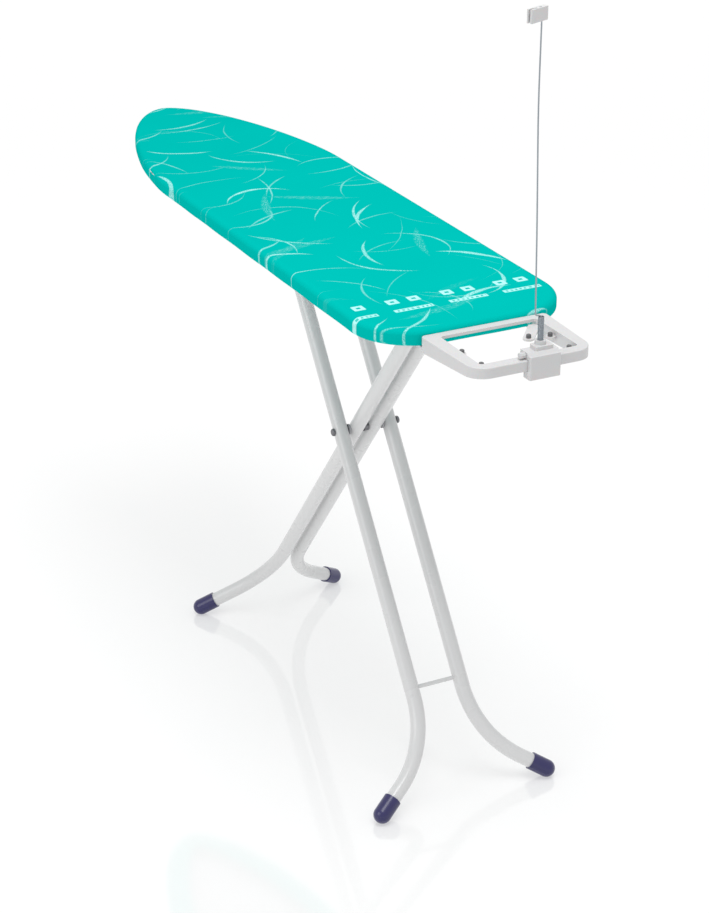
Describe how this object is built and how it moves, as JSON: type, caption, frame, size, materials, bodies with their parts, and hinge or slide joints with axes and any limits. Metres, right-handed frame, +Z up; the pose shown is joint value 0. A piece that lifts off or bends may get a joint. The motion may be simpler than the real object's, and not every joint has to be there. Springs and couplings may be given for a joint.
{
  "type": "ironing board",
  "caption": "Folding ironing board with a tapered padded top, a scissor leg frame, an iron rest and a sprung cable mast.",
  "frame": {"origin": "centre of the bounding box on the floor, Z = 0 at the feet", "axes": "+X along the board towards the square end and the iron rest, the nose at -X; +Y to the far side; +Z up"},
  "size_m": [1.24, 0.3, 1.18],
  "materials": {
    "cover_cloth": "printed stretch cotton",
    "foam": "felted foam",
    "panel_steel": "satin paint",
    "zinc_steel": "zinc plated",
    "white_paint": "gloss powder coat",
    "white_plastic": "fine moulded",
    "blue_caps": "smooth moulded",
    "dark_rubber": "matt",
    "dark_steel": "blackened",
    "grey_nylon": "matt",
    "spring_steel": "bright drawn wire"
  },
  "bodies": {
    "board": {"board_panel": "panel_steel", "foam_pad": "foam", "board_cover": "cover_cloth", "nose_rim": "panel_steel", "side_rail_near": "panel_steel", "side_rail_far": "panel_steel", "end_rim": "panel_steel", "nose_beam": "panel_steel", "middle_beam": "panel_steel", "end_beam": "panel_steel", "height_rail": "zinc_steel", "leg_bracket": "zinc_steel", "bracket_screws": "zinc_steel", "rail_rivets": "zinc_steel", "leg_axle": "zinc_steel", "lever_pin": "zinc_steel", "lever_spring": "spring_steel", "rest_arm_near": "zinc_steel", "rest_arm_far": "zinc_steel", "arm_spacers": "zinc_steel", "spacer_screws": "zinc_steel", "rest_screws": "zinc_steel", "iron_rest": "white_plastic", "rest_buffers": "dark_rubber"},
    "inner_frame": {"inner_leg_near": "white_paint", "inner_leg_far": "white_paint", "inner_foot_near": "blue_caps", "inner_foot_far": "blue_caps", "inner_leg_plugs": "white_plastic", "pivot_bolt": "dark_steel", "pivot_nut": "dark_steel", "pivot_sleeve": "dark_steel", "pivot_washers": "grey_nylon"},
    "outer_frame": {"outer_leg_near": "white_paint", "outer_leg_far": "white_paint", "outer_foot_near": "blue_caps", "outer_foot_far": "blue_caps", "outer_leg_plugs": "white_plastic", "sliding_rod": "zinc_steel", "rod_spacers": "grey_nylon", "lower_rod": "white_paint"},
    "lever": {"height_lever": "zinc_steel", "lever_grip": "blue_caps"},
    "mast_holder": {"mast_clamp": "white_plastic", "mast_spring": "spring_steel"},
    "mast_screw": {"clamp_screw": "white_plastic"},
    "mast": {"mast_wire": "spring_steel"},
    "clip": {"cable_clip": "white_plastic"}
  },
  "joints": [
    {"name": "leg_fold", "type": "hinge", "parent": "board", "child": "inner_frame", "pos_m": [0.33768, 0, 0.702], "axis": [0, 1, 0], "range_deg": [0, 48.3]},
    {"name": "leg_cross", "type": "hinge", "parent": "inner_frame", "child": "outer_frame", "pos_m": [0.1426, 0, 0.4585], "axis": [0, 1, 0], "range_deg": [-98.35, 0]},
    {"name": "lever_press", "type": "hinge", "parent": "board", "child": "lever", "pos_m": [0.028, 0, 0.709], "axis": [0, -1, 0], "range_deg": [0, 9.5], "stiffness_Nm_per_rad": 1.2, "springref_deg": -20.05},
    {"name": "holder_slide", "type": "slide", "parent": "board", "child": "mast_holder", "axis": [0, 1, 0], "range_m": [-0.045, 0.02]},
    {"name": "screw_turn", "type": "hinge", "parent": "mast_holder", "child": "mast_screw", "pos_m": [0.606, -0.012, 0.7428], "axis": [0, -1, 0], "continuous": true},
    {"name": "mast_sway", "type": "hinge", "parent": "mast_holder", "child": "mast", "pos_m": [0.6, 0.0135, 0.7885], "axis": [0, 1, 0], "range_deg": [-28, 28], "stiffness_Nm_per_rad": 0.25},
    {"name": "clip_turn", "type": "hinge", "parent": "mast", "child": "clip", "pos_m": [0.6, -0.001, 1.168], "axis": [0, 0, 1], "continuous": true}
  ],
  "couplings": [
    {"joint": "leg_cross", "follows": "leg_fold", "ratio": -2.036}
  ]
}
